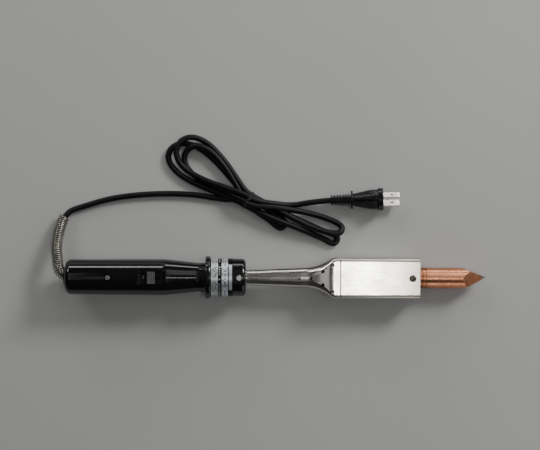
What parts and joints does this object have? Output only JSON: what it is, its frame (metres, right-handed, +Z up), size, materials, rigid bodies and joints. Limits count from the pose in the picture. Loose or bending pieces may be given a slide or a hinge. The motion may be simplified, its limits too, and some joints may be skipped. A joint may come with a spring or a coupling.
{
  "type": "soldering iron",
  "caption": "Heavy industrial soldering iron with a flat plated heater housing, copper bit, moulded handle with slide switch, guard collar and tied mains cord.",
  "frame": {"origin": "on the bench, below the middle of the iron's own bounding box, cord and plug left out", "axes": "+X along the iron from the handle towards the bit, +Y to the side where the cord lies, +Z up from the bench"},
  "size_m": [0.4601, 0.1783, 0.0454],
  "materials": {
    "phenolic_black": "polished moulded phenolic",
    "nickel_screws": "nickel-plated steel",
    "bush_rubber": "matte black rubber",
    "cord_rubber": "matte black cord sheath",
    "spring_steel": "bright spring wire",
    "clamp_plastic": "black moulded nylon",
    "zinc_screws": "zinc-plated steel",
    "core_insulation": "white core insulation",
    "switch_phenolic": "black switch moulding",
    "knob_grey": "grey moulded plastic",
    "terminal_brass": "brass",
    "porcelain": "unglazed porcelain",
    "label_foil": "printed aluminium foil",
    "plated_sheet": "satin nickel-plated steel sheet",
    "plate_steel": "plain steel",
    "mica": "mica sheet",
    "resistance_wire": "oxidised resistance ribbon",
    "nickel_wire": "nickel wire",
    "copper": "bare turned copper",
    "tie_plastic": "plastic-coated wire",
    "plug_plastic": "black moulded vinyl",
    "blade_nickel": "nickel-plated brass"
  },
  "bodies": {
    "iron": {"handle_upper_shell": "phenolic_black", "handle_lower_shell": "phenolic_black", "neck_ring": "phenolic_black", "guard_collar": "phenolic_black", "handle_screw": "nickel_screws", "handle_nut": "nickel_screws", "collar_screws": "nickel_screws", "shoulder_screws": "nickel_screws", "shoulder_nuts": "nickel_screws", "rear_bush": "bush_rubber", "cord_jacket_end": "cord_rubber", "cord_lead": "cord_rubber", "cord_tail": "cord_rubber", "cord_hank": "cord_rubber", "cord_guard_spring": "spring_steel", "cord_clamp": "clamp_plastic", "cord_clamp_screws": "zinc_screws", "cord_cores": "core_insulation", "switch_lead": "core_insulation", "switch_body": "switch_phenolic", "switch_bezel": "switch_phenolic", "switch_terminals": "terminal_brass", "terminal_screws": "terminal_brass", "terminal_block": "porcelain", "lead_beads": "porcelain", "rear_disc": "porcelain", "rating_label": "label_foil", "housing_upper": "plated_sheet", "housing_lower": "plated_sheet", "front_plate": "plate_steel", "rear_plate": "plate_steel", "heater_barrel": "plate_steel", "heater_bands": "plate_steel", "inner_mica": "mica", "outer_mica": "mica", "heater_winding": "resistance_wire", "heater_leads": "nickel_wire", "cord_tie": "tie_plastic", "plug_strain_relief": "plug_plastic", "plug_body": "plug_plastic", "plug_blades": "blade_nickel"},
    "knob": {"switch_knob": "knob_grey"},
    "bit": {"soldering_bit": "copper"},
    "bit_screw": {"set_screw": "nickel_screws"}
  },
  "joints": [
    {"name": "switch_slide", "type": "slide", "parent": "iron", "child": "knob", "axis": [0.9995, 0, -0.0331], "range_m": [-0.0065, 0.0065]},
    {"name": "bit_slide", "type": "slide", "parent": "iron", "child": "bit", "axis": [0.9995, 0, -0.0331], "range_m": [0, 0.07]},
    {"name": "set_screw_slide", "type": "slide", "parent": "iron", "child": "bit_screw", "axis": [0.0331, 0, 0.9995], "range_m": [0, 0.004]}
  ]
}
